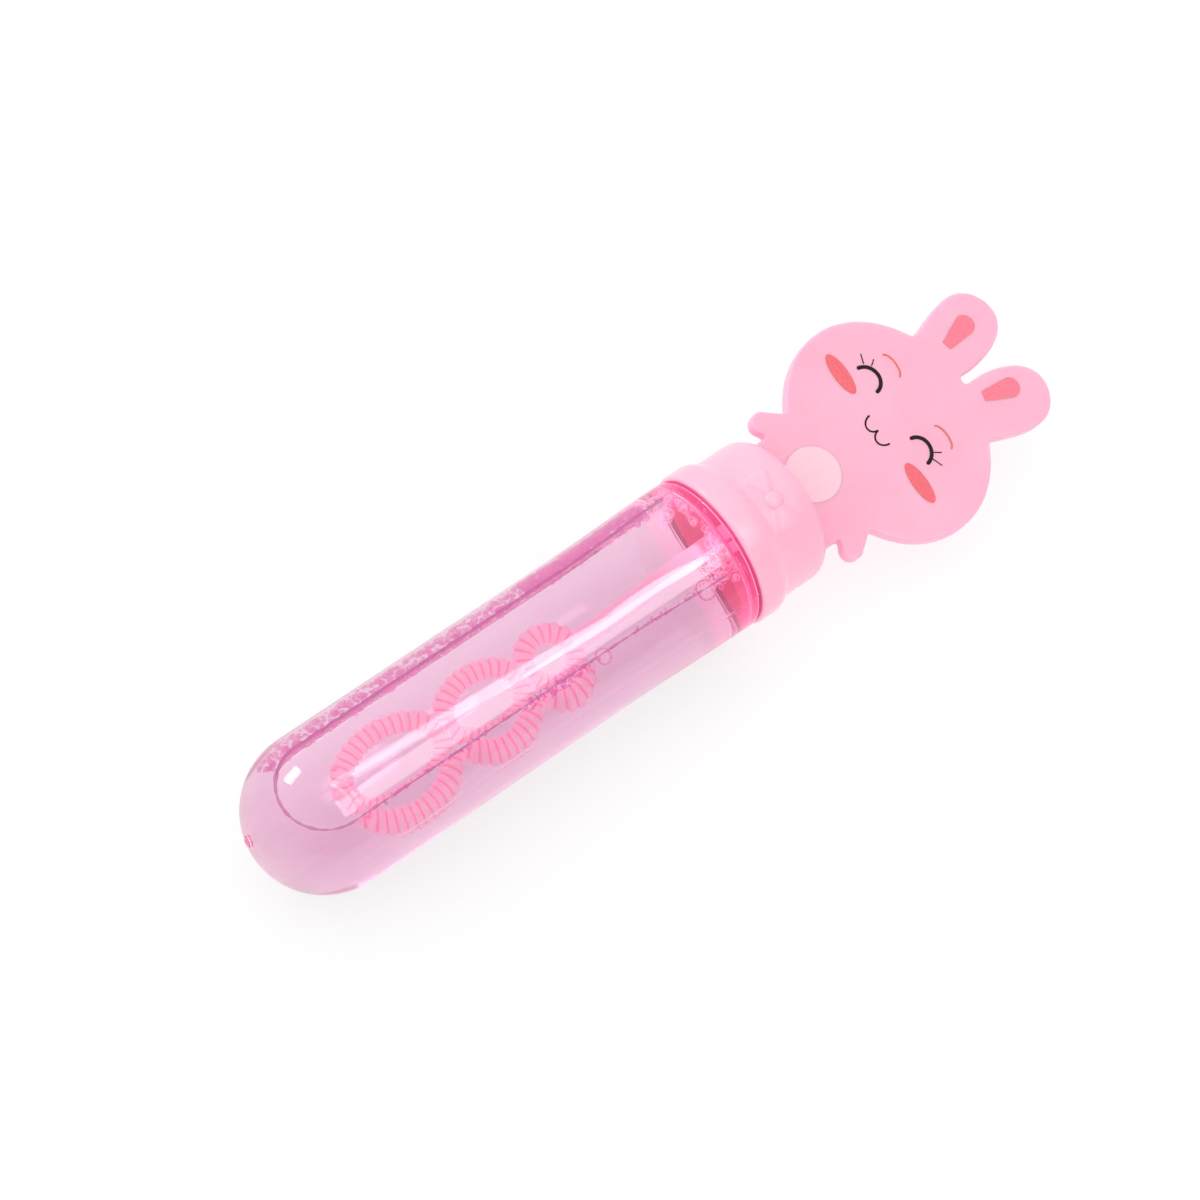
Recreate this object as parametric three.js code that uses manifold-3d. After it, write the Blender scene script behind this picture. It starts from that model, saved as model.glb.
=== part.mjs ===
// Bubble blower: a clear tube of soap solution whose screw cap carries a flat rabbit figure and the wand.
// Millimetres, +Z up. The blower lies on its side along X, with the tube's round end towards -X.
// The origin is on the floor under the middle of the blower.

import * as THREE from 'three';
import { mergeVertices } from 'three/addons/utils/BufferGeometryUtils.js';
import Module from 'manifold-3d';

const wasm = await Module();
wasm.setup();

// Tube
const tubeRadius = 14.5;
const tubeWall = 1.3;
const tubeLength = 84.6; // centre of the round end to the shoulder
const mouthRadius = 15; // the tube flares to this radius below its shoulder
const flareLength = 26;
const shoulderRounding = 1.2;
const neckRadius = 12.3;
const neckWall = 1.1;
const neckLength = 13;
const neckChamfer = 0.5;

// Soap solution
const liquidLevel = 10.4; // height of its surface above the tube's axis
const loopRoom = 1.8; // the space left free in front of and behind the wand's loops

// Cap
const rimRadius = 15.4;
const rimHeight = 5.2;
const rimRounding = 0.7;
const capRadius = 14.2;
const capBlend = 2.8; // length of the soft step from the rim to the upper part
const capTopRounding = 4;
const capTopWall = 2.5;
const threadRoom = 0.8; // radial room for the threads between the neck and the cap
const linerThickness = 1.5;
const socketWall = 1.4;
const socketLength = 8.5;

// Bow tie in low relief on the front of the cap
const bowHeight = 10; // from the cap's rim to the middle of the bow
const bowRelief = 0.6;
const bowThickness = 3; // of the plates that are sunk into the cap
const bowEdge = 0.5;
const bowKnotRadius = 1.6;
const bowKnotRelief = 0.9;
const bowLobeStart = 0.8; // from the middle of the knot, across the cap
const bowLobeCorner = 5;
const bowLobeBulge = 2.2; // how far the rounded end swells past the corners
const bowRootHalfHeight = 0.9;
const bowEndHalfHeight = 3;

// Figure, with heights measured from the top of the cap
const figureThickness = 3;
const figureEdge = 0.5;
const waistHalfWidth = 11.3;
const armTipHeight = 5.1;
const armTipSpread = 14;
const armRootHeight = 8.7;
const armRootSpread = 10;
const armTipRadius = 2.1;
const armRootHalfWidth = 3.1;
const headHeight = 24.5;
const headHalfLength = 17.8;
const headHalfWidth = 22.1;
const earRootHeight = 37.8;
const earRootSpread = 11.2;
const earRootSwell = 1.9; // the outer edge leaves its root this much wider
const earWidestRise = 12.1; // from the ear's root to its widest place
const earOuterSpread = 14.5;
const earTipRise = 6.1; // from the widest place to the tip
const earTipSpread = 8;
const earRoundness = 0.6; // how far the outer edge runs straight on at its widest place
const earSlotHalfWidth = 0.95;
const earSlotStraight = 6.5; // length of the slot whose sides are parallel

// Wand
const stemRadius = 1.9;
const ringGap = 1.8; // between the centre lines of two neighbouring rings
const tipDistance = 3.7; // from the centre of the tube's round end to the far ring's centre line
const farRing = { halfLength: 10, halfWidth: 6.5 };
const middleRing = { halfLength: 7.8, halfWidth: 5.7 };
const nearRing = { halfLength: 4.8, halfWidth: 4.8 };
const ribPitch = 1.55;
const ribRadius = 2.1;
const grooveRadius = 1.55;
const crestShare = 0.4; // the part of each rib that is at full radius

// Fits and attitude
const seatGap = 0.3; // clearance between pieces that touch
const figureRoll = THREE.MathUtils.degToRad(13.9); // the figure leans this far towards -Y

// Facets
const roundSegments = 42;
const arcSteps = 5;
const outlineSteps = 14;
const stemSides = 20;
const ringSides = 8;
const weldTolerance = 1e-4;

// Places along the tube's axis, from the centre of the round end
const neckTop = tubeLength + neckLength;
const linerBottom = neckTop + seatGap;
const capInnerTop = linerBottom + linerThickness + seatGap;
const capTop = capInnerTop + capTopWall;
const rimBottom = tubeLength + seatGap;
const socketBottom = capInnerTop - socketLength;
const earWidestHeight = earRootHeight + earWidestRise;
const earTipHeight = earWidestHeight + earTipRise;
const farRingCentre = tipDistance + farRing.halfLength;
const middleRingCentre = farRingCentre + farRing.halfLength + ringGap + middleRing.halfLength;
const nearRingCentre = middleRingCentre + middleRing.halfLength + ringGap + nearRing.halfLength;
const rings = [
  { ...farRing, centre: farRingCentre },
  { ...middleRing, centre: middleRingCentre },
  { ...nearRing, centre: nearRingCentre },
];

// Radii that follow from the fits
const boreRadius = neckRadius + threadRoom;
const socketRadius = stemRadius + seatGap;
const socketOuterRadius = socketRadius + socketWall;
const neckInnerRadius = neckRadius - neckWall;

// The closed solid of a geometry: equal vertices are merged and triangles that have collapsed at a pole are dropped.
function solidOf(geometry) {
  const bare = geometry.clone();
  bare.deleteAttribute('normal');
  bare.deleteAttribute('uv');
  const merged = mergeVertices(bare, weldTolerance);
  const index = merged.index.array;
  const corners = [];
  for (let i = 0; i < index.length; i += 3) {
    const [a, b, c] = index.subarray(i, i + 3);
    if (a !== b && b !== c && c !== a) corners.push(a, b, c);
  }
  const vertProperties = Float32Array.from(merged.attributes.position.array);
  const triVerts = Uint32Array.from(corners);
  return new wasm.Manifold(new wasm.Mesh({ numProp: 3, vertProperties, triVerts }));
}

function geometryOf(solid) {
  const { numProp, vertProperties, triVerts } = solid.getMesh();
  const geometry = new THREE.BufferGeometry();
  geometry.setAttribute('position', new THREE.BufferAttribute(vertProperties, numProp));
  geometry.setIndex(new THREE.BufferAttribute(triVerts, 1));
  return geometry;
}

// A profile of (radius, distance along the axis) points, turned about the X axis.
function turned(profile) {
  const geometry = new THREE.LatheGeometry(profile, roundSegments);
  geometry.rotateZ(-Math.PI / 2);
  return solidOf(geometry);
}

function point(radius, along) {
  return new THREE.Vector2(radius, along);
}

// Points on a quarter circle of a profile, from angle start to angle end, counted from the radial direction.
function arc(radius, along, size, start, end) {
  const points = [];
  for (let i = 0; i <= arcSteps; i += 1) {
    const angle = THREE.MathUtils.lerp(start, end, i / arcSteps);
    points.push(point(radius + size * Math.cos(angle), along + size * Math.sin(angle)));
  }
  return points;
}

// A flat outline made into a plate with rounded edges, centred on the plane of the figure.
function plate(shape, thickness, edge) {
  const geometry = new THREE.ExtrudeGeometry(shape, {
    depth: thickness - 2 * edge,
    bevelEnabled: edge > 0,
    bevelThickness: edge,
    bevelSize: edge,
    bevelOffset: -edge,
    bevelSegments: 2,
    curveSegments: outlineSteps,
  });
  geometry.translate(0, 0, edge - thickness / 2);
  return solidOf(geometry);
}

function rodAlongX(radius, start, end, segments) {
  const geometry = new THREE.CylinderGeometry(radius, radius, end - start, segments);
  geometry.rotateZ(-Math.PI / 2);
  geometry.translate((start + end) / 2, 0, 0);
  return solidOf(geometry);
}

// The tube's wall from the pole of its round end to the foot of the neck, moved in by inset.
function tubeProfile(inset) {
  const shoulder = tubeLength - inset;
  const roundingCentre = shoulder - shoulderRounding;
  const flareStart = roundingCentre - flareLength;
  const flare = mouthRadius - tubeRadius;
  const points = arc(0, 0, tubeRadius - inset, -Math.PI / 2, 0);
  points[0].x = 0;
  for (let i = 0; i < arcSteps; i += 1) {
    const share = i / arcSteps;
    const eased = share * share * (3 - 2 * share);
    points.push(point(tubeRadius - inset + flare * eased, flareStart + flareLength * share));
  }
  points.push(...arc(mouthRadius - inset - shoulderRounding, roundingCentre, shoulderRounding, 0, Math.PI / 2));
  return points;
}

function bottleTube() {
  const outside = tubeProfile(0);
  const inside = tubeProfile(tubeWall).reverse();
  return turned([
    ...outside,
    point(neckRadius, tubeLength),
    point(neckRadius, neckTop - neckChamfer),
    point(neckRadius - neckChamfer, neckTop),
    point(neckInnerRadius, neckTop),
    point(neckInnerRadius, tubeLength - tubeWall),
    ...inside,
  ]);
}

// The room that the liquid leaves round the wand: one oval per ring, a channel for the stem and one for its socket.
function wandRoom() {
  const ovals = rings.map(({ centre, halfLength, halfWidth }) => {
    const outline = new THREE.Shape();
    const margin = ribRadius + seatGap;
    outline.absellipse(centre, 0, halfLength + margin, halfWidth + margin, 0, 2 * Math.PI);
    return plate(outline, 2 * (ribRadius + loopRoom), 0);
  });
  const past = neckTop + seatGap;
  const stem = rodAlongX(stemRadius + seatGap, nearRingCentre, past, stemSides);
  const socket = rodAlongX(socketOuterRadius + seatGap, socketBottom - seatGap, past, stemSides);
  const room = ovals.reduce((sum, oval) => sum.add(oval), stem.add(socket));
  return room.rotate([THREE.MathUtils.radToDeg(figureRoll), 0, 0]);
}

// The soap solution fills the tube and the neck up to a level surface.
function bubbleLiquid() {
  const neckFill = neckInnerRadius - seatGap;
  const body = turned([
    ...tubeProfile(tubeWall + seatGap),
    point(neckFill, tubeLength - tubeWall - seatGap),
    point(neckFill, neckTop),
    point(0, neckTop),
  ]);
  const airHeight = mouthRadius;
  const air = new THREE.BoxGeometry(4 * neckTop, 4 * mouthRadius, airHeight);
  air.translate(0, 0, liquidLevel + airHeight / 2);
  return body.subtract(solidOf(air)).subtract(wandRoom());
}

// The cap's outer form, still solid inside: a rim band, a soft step and a rounded top.
function capForm() {
  const rimTop = rimBottom + rimHeight;
  const step = rimRadius - capRadius;
  const blend = [];
  for (let i = 0; i <= arcSteps; i += 1) {
    const share = i / arcSteps;
    const eased = share * share * (3 - 2 * share);
    blend.push(point(rimRadius - step * eased, rimTop - capBlend / 2 + capBlend * share));
  }
  return turned([
    point(0, rimBottom),
    ...arc(rimRadius - rimRounding, rimBottom + rimRounding, rimRounding, -Math.PI / 2, 0),
    ...blend,
    ...arc(capRadius - capTopRounding, capTop - capTopRounding, capTopRounding, 0, Math.PI / 2),
    point(0, capTop),
  ]);
}

// The hollow of the cap: a plain bore round the post whose socket holds the wand.
function capHollow() {
  const mouth = rimBottom - seatGap;
  return turned([
    point(0, mouth),
    point(boreRadius, mouth),
    point(boreRadius, capInnerTop),
    point(socketOuterRadius, capInnerTop),
    point(socketOuterRadius, socketBottom),
    point(socketRadius, socketBottom),
    point(socketRadius, capInnerTop),
    point(0, capInnerTop),
  ]);
}

// One lobe of the bow: a plate whose outline widens from the knot to a rounded end, laid on the front of the cap
// so that its middle touches the cap's curve.
function bowLobe(side) {
  const middle = (bowLobeStart + bowLobeCorner) / 2;
  const start = bowLobeStart - middle;
  const corner = bowLobeCorner - middle;
  const end = corner + bowLobeBulge;
  const outline = new THREE.Shape();
  outline.moveTo(-bowRootHalfHeight, start);
  outline.lineTo(bowRootHalfHeight, start);
  outline.lineTo(bowEndHalfHeight, corner);
  outline.bezierCurveTo(bowEndHalfHeight, end, -bowEndHalfHeight, end, -bowEndHalfHeight, corner);
  const tilt = THREE.MathUtils.radToDeg(Math.asin(middle / capRadius));
  const lobe = plate(outline, bowThickness, bowEdge)
    .translate([rimBottom + bowHeight, 0, capRadius + bowRelief - bowThickness / 2])
    .rotate([-tilt, 0, 0]);
  return side > 0 ? lobe : lobe.mirror([0, 1, 0]);
}

// The bow's knot: a ball sunk into the cap until only its relief stands proud.
function bowKnot() {
  const geometry = new THREE.SphereGeometry(bowKnotRadius, outlineSteps, outlineSteps);
  geometry.translate(rimBottom + bowHeight, 0, capRadius + bowKnotRelief - bowKnotRadius);
  return solidOf(geometry);
}

// The figure's outlines lie in its own plane: x along the tube's axis and y across the figure.
function waistOutline() {
  const outline = new THREE.Shape();
  const start = capTop - capTopWall / 2;
  const end = capTop + headHeight;
  outline.moveTo(start, -waistHalfWidth);
  outline.lineTo(end, -waistHalfWidth);
  outline.lineTo(end, waistHalfWidth);
  outline.lineTo(start, waistHalfWidth);
  return outline;
}

function headOutline() {
  const outline = new THREE.Shape();
  outline.absellipse(capTop + headHeight, 0, headHalfLength, headHalfWidth, 0, 2 * Math.PI);
  return outline;
}

// An arm is a tapered lobe with a round tip.
function armOutline() {
  const root = new THREE.Vector2(capTop + armRootHeight, armRootSpread);
  const tip = new THREE.Vector2(capTop + armTipHeight, armTipSpread);
  const out = tip.clone().sub(root).normalize();
  const across = new THREE.Vector2(out.y, -out.x);
  const heading = across.angle();
  const outline = new THREE.Shape();
  outline.moveTo(root.x - across.x * armRootHalfWidth, root.y - across.y * armRootHalfWidth);
  outline.lineTo(root.x + across.x * armRootHalfWidth, root.y + across.y * armRootHalfWidth);
  outline.absarc(tip.x, tip.y, armTipRadius, heading, heading + Math.PI);
  return outline;
}

// An ear swells from its root to its widest place, turns over its tip and comes back along the slot.
function earOutline() {
  const tip = capTop + earTipHeight;
  const widest = capTop + earWidestHeight;
  const root = capTop + earRootHeight;
  const slotEnd = capTop + headHeight + headHalfLength;
  const slotTop = slotEnd + earSlotStraight;
  const swell = (widest - root) / 2;
  const turn = tip - widest;
  const outline = new THREE.Shape();
  outline.moveTo(root, earSlotHalfWidth);
  outline.lineTo(slotTop - earSlotStraight / 2, earSlotHalfWidth);
  outline.bezierCurveTo(slotTop, earSlotHalfWidth, tip, earTipSpread / 3, tip, earTipSpread);
  const tipPull = (earOuterSpread - earTipSpread) / 2;
  const turnPull = widest + turn * earRoundness;
  const swellPull = widest - swell * earRoundness;
  const rootPull = earRootSpread + earRootSwell;
  outline.bezierCurveTo(tip, earTipSpread + tipPull, turnPull, earOuterSpread, widest, earOuterSpread);
  outline.bezierCurveTo(swellPull, earOuterSpread, root + swell, rootPull, root, earRootSpread);
  return outline;
}

function figure() {
  const thick = (outline) => plate(outline, figureThickness, figureEdge);
  const arm = thick(armOutline());
  const ear = thick(earOutline());
  return thick(waistOutline())
    .add(thick(headOutline()))
    .add(arm)
    .add(arm.mirror([0, 1, 0]))
    .add(ear)
    .add(ear.mirror([0, 1, 0]));
}

function capWithFigure() {
  return capForm().add(bowLobe(1)).add(bowLobe(-1)).add(bowKnot()).add(figure()).subtract(capHollow());
}

function capLiner() {
  const inner = socketOuterRadius + seatGap;
  const outer = boreRadius - seatGap;
  const top = linerBottom + linerThickness;
  return turned([
    point(inner, linerBottom),
    point(outer, linerBottom),
    point(outer, top),
    point(inner, top),
    point(inner, linerBottom),
  ]);
}

// A ring is a closed tube along an ellipse. Each rib has a groove row and the two rows of its crest,
// spread evenly along the ellipse, so the ribs stand square to the ring all the way round.
function ribbedRing({ centre, halfLength, halfWidth }) {
  const path = new THREE.EllipseCurve(centre, 0, halfLength, halfWidth, 0, 2 * Math.PI);
  const ribRows = [
    { share: 0, radius: grooveRadius },
    { share: 0.5 - crestShare / 2, radius: ribRadius },
    { share: 0.5 + crestShare / 2, radius: ribRadius },
  ];
  const ribs = Math.round(path.getLength() / ribPitch);
  const rows = ribs * ribRows.length;
  const positions = [];
  const index = [];
  for (let row = 0; row < rows; row += 1) {
    const { share, radius } = ribRows[row % ribRows.length];
    const along = (Math.floor(row / ribRows.length) + share) / ribs;
    const middle = path.getPointAt(along);
    const tangent = path.getTangentAt(along);
    for (let side = 0; side < ringSides; side += 1) {
      const angle = (2 * Math.PI * side) / ringSides;
      const outward = radius * Math.cos(angle);
      const height = radius * Math.sin(angle);
      positions.push(middle.x + tangent.y * outward, middle.y - tangent.x * outward, height);
      const next = ((row + 1) % rows) * ringSides;
      const beside = (side + 1) % ringSides;
      const here = row * ringSides;
      index.push(here + side, next + side, next + beside);
      index.push(here + side, next + beside, here + beside);
    }
  }
  const geometry = new THREE.BufferGeometry();
  geometry.setAttribute('position', new THREE.Float32BufferAttribute(positions, 3));
  geometry.setIndex(index);
  return solidOf(geometry);
}

function bubbleWand() {
  const stemStart = nearRingCentre + nearRing.halfLength;
  const stem = rodAlongX(stemRadius, stemStart, capInnerTop - seatGap, stemSides);
  return rings.reduce((sum, ring) => sum.add(ribbedRing(ring)), stem);
}

function mesh(name, solid, colour, roughness, opacity) {
  const material = new THREE.MeshStandardMaterial({
    color: colour,
    roughness,
    metalness: 0,
    opacity,
    transparent: opacity < 1,
    flatShading: true,
  });
  const piece = new THREE.Mesh(geometryOf(solid), material);
  piece.name = name;
  return piece;
}

const tube = mesh('bottle_tube', bottleTube(), 0xf3c4dd, 0.06, 0.3);
const liquid = mesh('bubble_liquid', bubbleLiquid(), 0xe6a6cf, 0.02, 0.45);
const liner = mesh('cap_liner', capLiner(), 0xfdf3f6, 0.8, 1);
const cap = mesh('screw_cap', capWithFigure(), 0xffbdd5, 0.35, 1);
const wand = mesh('bubble_wand', bubbleWand(), 0xff8fb8, 0.4, 1);

// The cap, its liner, the figure and the wand lie turned about the tube's axis.
const capGroup = new THREE.Group();
capGroup.add(liner, cap, wand);
capGroup.rotation.x = figureRoll;

// The rim rests on the floor, and the middle of the whole length is at x = 0.
const lengthMiddle = (capTop + earTipHeight - tubeRadius) / 2;
const group = new THREE.Group();
group.add(tube, liquid, capGroup);
group.position.set(-lengthMiddle, 0, rimRadius);

export default group;
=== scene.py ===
import math

import bmesh
import bpy
import numpy as np
from mathutils import Matrix, Vector


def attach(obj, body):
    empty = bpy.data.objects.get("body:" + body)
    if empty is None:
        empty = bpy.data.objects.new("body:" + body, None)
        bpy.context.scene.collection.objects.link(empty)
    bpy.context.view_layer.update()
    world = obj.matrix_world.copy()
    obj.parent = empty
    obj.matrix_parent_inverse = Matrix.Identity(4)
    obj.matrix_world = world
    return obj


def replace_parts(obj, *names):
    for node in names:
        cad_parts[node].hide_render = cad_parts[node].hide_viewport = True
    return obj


# Bubble blower lying on its side: a clear tube of pink soap solution, a screw cap that carries a flat
# rabbit figure, and a wand of three ribbed rings under the cap.
# Sizes are in millimetres. Along is the distance from the centre of the tube's round end towards the ears,
# across and up are at right angles to it, and laid() turns them into the metres of the frame.

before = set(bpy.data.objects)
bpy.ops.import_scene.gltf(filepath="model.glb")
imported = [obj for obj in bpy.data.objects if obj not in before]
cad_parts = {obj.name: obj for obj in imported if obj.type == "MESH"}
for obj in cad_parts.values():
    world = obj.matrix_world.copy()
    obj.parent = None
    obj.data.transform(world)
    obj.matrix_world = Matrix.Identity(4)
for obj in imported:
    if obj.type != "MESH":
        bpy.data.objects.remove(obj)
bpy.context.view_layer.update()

MM = 0.001
JOIN_DISTANCE = 2e-6  # points nearer than this, in metres, are one point
COLLAPSED_LENGTH = 1e-7  # an edge shorter than this, in metres, is taken out

# Tube
TUBE_RADIUS = 14.5
TUBE_WALL = 1.3
TUBE_LENGTH = 84.6
MOUTH_RADIUS = 15.0
FLARE_LENGTH = 26.0
SHOULDER_ROUNDING = 1.2
NECK_RADIUS = 12.3
NECK_WALL = 1.1
NECK_LENGTH = 13.0
NECK_CHAMFER = 0.5
CORE_RIDGE_PLACE = 2.4  # the low ridge inside, where the round end of the mould's core began
CORE_RIDGE_HEIGHT = 0.1
CORE_RIDGE_HALF_WIDTH = 0.8
CORE_RIDGE_REACH = 2.4  # how far the ridge's rows go to either side, in half widths
SEAM_HEIGHT = 0.08
SEAM_HALF_WIDTH = 0.22
SEAM_ANGLE = math.radians(-68)  # from straight up, towards the viewer's side
GATE_RADIUS = 1.1
GATE_HEIGHT = 0.45
GATE_ROUNDING = 0.2
GATE_SIDE = (0.16, 0.14)  # how far the gate lies off the pole, across and up, as shares of the radius

# Soap solution
LIQUID_LEVEL = 9.9
MENISCUS_RISE = 0.6
MENISCUS_REACH = 0.6
EDGE_BEAD_RADIUS = 0.26
EDGE_WAVERS = ((0.25, 1.1), (0.2, 2.7))  # each is a share of the bead's radius, and radians per millimetre
EDGE_FAR_SWELL = 0.3  # how much thicker the bead is on the far side, as a share of its radius
WALL_OVERLAP = 0.1  # the liquid reaches into the wall, so that no film of air lies between them

# Bubbles: (first, last) along, (first, last) degrees from straight up, how many, (least, most) radius
WALL_FOAM = [
    ((-6, 56), (37, 60), 620, (0.25, 0.65)),
    ((50, 77), (42, 62), 420, (0.45, 0.85)),
    ((-6, 58), (33, 40), 160, (0.16, 0.4)),
    ((36, 50), (-44, -35), 70, (0.18, 0.45)),
    ((6, 76), (-40, -36), 130, (0.12, 0.34)),
]
CAP_FOAM = [
    ((66, 76), (32, 54), 40, (0.25, 0.7)),
    ((76, 82.5), (22, 56), 80, (0.3, 1.1)),
    ((77, 82.5), (-48, -10), 75, (0.3, 1.1)),
    ((80.5, 82.5), (-10, 24), 20, (0.25, 0.7)),
]
LARGE_BUBBLES = [
    ((52.5, 53.5), (-43, -42), 1, (1.3, 1.4)),
    ((75.0, 76.0), (-45, -44), 1, (1.7, 1.8)),
]
BUBBLE_ROWS = 6
LARGE_BUBBLE_ROWS = 16

# Cap
SEAT_GAP = 0.3
RIM_RADIUS = 15.4
RIM_HEIGHT = 5.2
RIM_ROUNDING = 0.7
CAP_RADIUS = 14.2
CAP_BLEND = 2.8
CAP_TOP_ROUNDING = 4.0
CAP_TOP_WALL = 2.5
THREAD_ROOM = 0.8
LINER_THICKNESS = 1.5
SOCKET_WALL = 1.4
SOCKET_LENGTH = 8.5
BOW_HEIGHT = 10.0
BOW_HALF_ANGLE = 34.0  # the part of the cap, in degrees to either side, that has close rows for the bow
BOW_RELIEF = 0.62
BOW_EDGE = 1.3
BOW_KNOT_RADIUS = 1.7
BOW_KNOT_RELIEF = 0.85
BOW_LOBE_START = 0.8
BOW_LOBE_CORNER = 5.0
BOW_LOBE_BULGE = 2.2
BOW_ROOT_HALF_HEIGHT = 0.9
BOW_END_HALF_HEIGHT = 3.0

# Threads
THREAD_PITCH = 3.0
THREAD_HALF_WIDTH = 0.75
THREAD_HEIGHT = 0.36
THREAD_TURNS = 2.25
THREAD_STEPS = 72  # in each turn
THREAD_RUN_OUT = 0.25  # the part of a turn in which the thread grows to its full height
NECK_THREAD_START = 4.5  # over the shoulder
CAP_THREAD_START = 2.7  # over the rim's lower edge

# Figure: places are (height over the cap's top, across)
FIGURE_ROLL = math.radians(13.9)  # how far the figure leans from level, about the tube's axis
FIGURE_THICKNESS = 3.0
FIGURE_EDGE = 0.5
FIGURE_FILLET = 0.35
FACE_BORDER = 0.06  # the flat face begins this far inside the rounded edge
OUTLINE_SPACING = 0.25
WAIST_HALF_WIDTH = 11.3
ARM_TIP = (5.1, 14.0)
ARM_ROOT = (8.7, 10.0)
ARM_TIP_RADIUS = 2.1
ARM_ROOT_HALF_WIDTH = 3.1
HEAD_HEIGHT = 24.5
HEAD_HALF_LENGTH = 17.8
HEAD_HALF_WIDTH = 22.1
EAR_ROOT = (37.8, 11.2)
EAR_WIDEST = (49.9, 14.5)
EAR_TIP = (56.0, 8.0)
EAR_FULLNESS = 0.6  # how far the curves beside the widest place hold its width
EAR_ROOT_SPREAD = 1.9
EAR_SLOT_HALF_WIDTH = 0.95
EAR_SLOT_STRAIGHT = 6.5
# A rough line up one side of the figure, between the places named above
ROUGH_ARM_AND_JAW = [(3.1, 11.4), (3.6, 15.2), (6.7, 15.6), (10.0, 12.9), (15.3, 18.7)]
ROUGH_BROW_AND_EAR = [(33.3, 19.2), (39.3, 12.6), (44.8, 14.0)]
ROUGH_EAR_SIDE = [(54.3, 12.2)]
ROUGH_SLOT = [(53.3, 3.0), (48.8, 1.1), (42.7, 1.0), (42.3, 0.0)]

# Wand
STEM_RADIUS = 1.9
STEM_CHAMFER = 0.4
RING_GAP = 1.8
TIP_DISTANCE = 3.7
RING_HALF_LENGTHS = (10.0, 7.8, 4.8)
RING_HALF_WIDTHS = (6.5, 5.7, 4.8)
RIB_PITCH = 1.55
RIB_RADIUS = 2.1
GROOVE_RADIUS = 1.4
STEM_BEND = -1.0  # how far the rings have been bent out of the middle
STEM_BEND_ENDS = (55.0, 88.0)
RIB_ROUNDNESS = 0.7  # the power of the sine that makes the ribs: lower is fuller
STEM_PAINTED_GLOW_ENDS = (72.0, 84.0)  # where the wand's painted glow grows stronger towards the cap
STEM_PAINTED_GLOW = (0.4, 0.85)
STEM_SHADE_ENDS = (80.0, 84.0)  # where that painted glow turns to a darker pink: painted shade inside the cap

# Prints on the figure's face: places are (height over the cap's top, across)
INK_THICKNESS = 0.03
EYES = [
    [(26.4, 12.6), (29.2, 9.8), (26.7, 7.0)],
    [(26.7, -3.5), (29.2, -6.2), (26.5, -9.0)],
]
EYE_HALF_LINE = 0.38
LASHES = [
    [(28.1, 12.6), (28.9, 14.6)],
    [(29.1, 11.5), (30.4, 12.4)],
    [(28.1, -8.7), (28.9, -10.9)],
    [(29.0, -7.9), (30.4, -8.8)],
]
LASH_HALF_LINE = 0.12
MOUTH = [
    [(23.1, 4.2), (21.1, 2.6), (22.8, 1.05)],
    [(22.8, 1.05), (21.1, -0.6), (23.1, -2.1)],
]
MOUTH_HALF_LINE = 0.18
BROWS = [
    [(32.2, 12.1), (33.4, 9.6), (32.3, 7.0)],
    [(32.2, -4.0), (33.3, -6.6), (32.2, -9.2)],
]
BROW_HALF_LINE = 0.2
CHEEKS = [(23.25, 13.4), (23.25, -11.15)]
CHEEK_HALF_HEIGHT = 1.5
CHEEK_HALF_WIDTH = 4.4
EAR_PETALS = [[(43.8, 7.0), (51.2, 8.8)], [(43.8, -4.5), (51.1, -6.4)]]
PETAL_BASE_HALF_WIDTH = 1.0
PETAL_END_HALF_WIDTH = 2.0
BELLY = (7.2, 1.0)
BELLY_RADIUS = 5.3

# Materials
NOISE_LOW, NOISE_HIGH = 0.3, 0.7  # noise, which runs from 0 to 1, is mostly between these
RIM_COVER = 0.9  # how much a bubble's rim hides
PAINTED_PINK_GLOW = (1.0, 0.13, 0.38)  # painted glow: the colour that the clear plastic and the soap solution give out, for the light they scatter

# Light
WORLD_BRIGHTNESS = 1.38
DARK_SIDE_SHARE = 0.58  # the brightness away from the bright side, as a share of the brightest
BRIGHT_SIDE = (-0.35, 0.55, 0.76)
FLOOR_GLOW = 0.72
FLOOR_HALF_WIDTH = 3.0  # in metres

# Camera, fitted to the outline of the tube, its round end and the cap's rim in the photograph
CAMERA_LENS = 108.887
CAMERA_SENSOR = 36.0
CAMERA_PLACE = (-0.223025, -0.196174, 0.585934)
CAMERA_TURN = (0.468608, -0.078185, -0.666494)

# Places along the axis, radii and levels that follow from these sizes
NECK_TOP = TUBE_LENGTH + NECK_LENGTH
LINER_BOTTOM = NECK_TOP + SEAT_GAP
CAP_INNER_TOP = LINER_BOTTOM + LINER_THICKNESS + SEAT_GAP
CAP_TOP = CAP_INNER_TOP + CAP_TOP_WALL
RIM_BOTTOM = TUBE_LENGTH + SEAT_GAP
SOCKET_BOTTOM = CAP_INNER_TOP - SOCKET_LENGTH
LENGTH_MIDDLE = (CAP_TOP + EAR_TIP[0] - TUBE_RADIUS) / 2
TUBE_INNER_RADIUS = TUBE_RADIUS - TUBE_WALL
NECK_INNER_RADIUS = NECK_RADIUS - NECK_WALL
BORE_RADIUS = NECK_RADIUS + THREAD_ROOM
SOCKET_RADIUS = STEM_RADIUS + SEAT_GAP
WATER_LINE = LIQUID_LEVEL + MENISCUS_RISE  # where the liquid's surface meets the wall
PAINTED_GLOW_START = TUBE_LENGTH - TUBE_WALL - SHOULDER_ROUNDING * 2  # past here the clear plastic takes a stronger painted pink glow, for the cap's light


def full_turn(steps):
    """Angles at even steps round a full turn, without its end."""
    return np.linspace(0, 2 * np.pi, steps, endpoint=False)


ROUND = full_turn(160)


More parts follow.
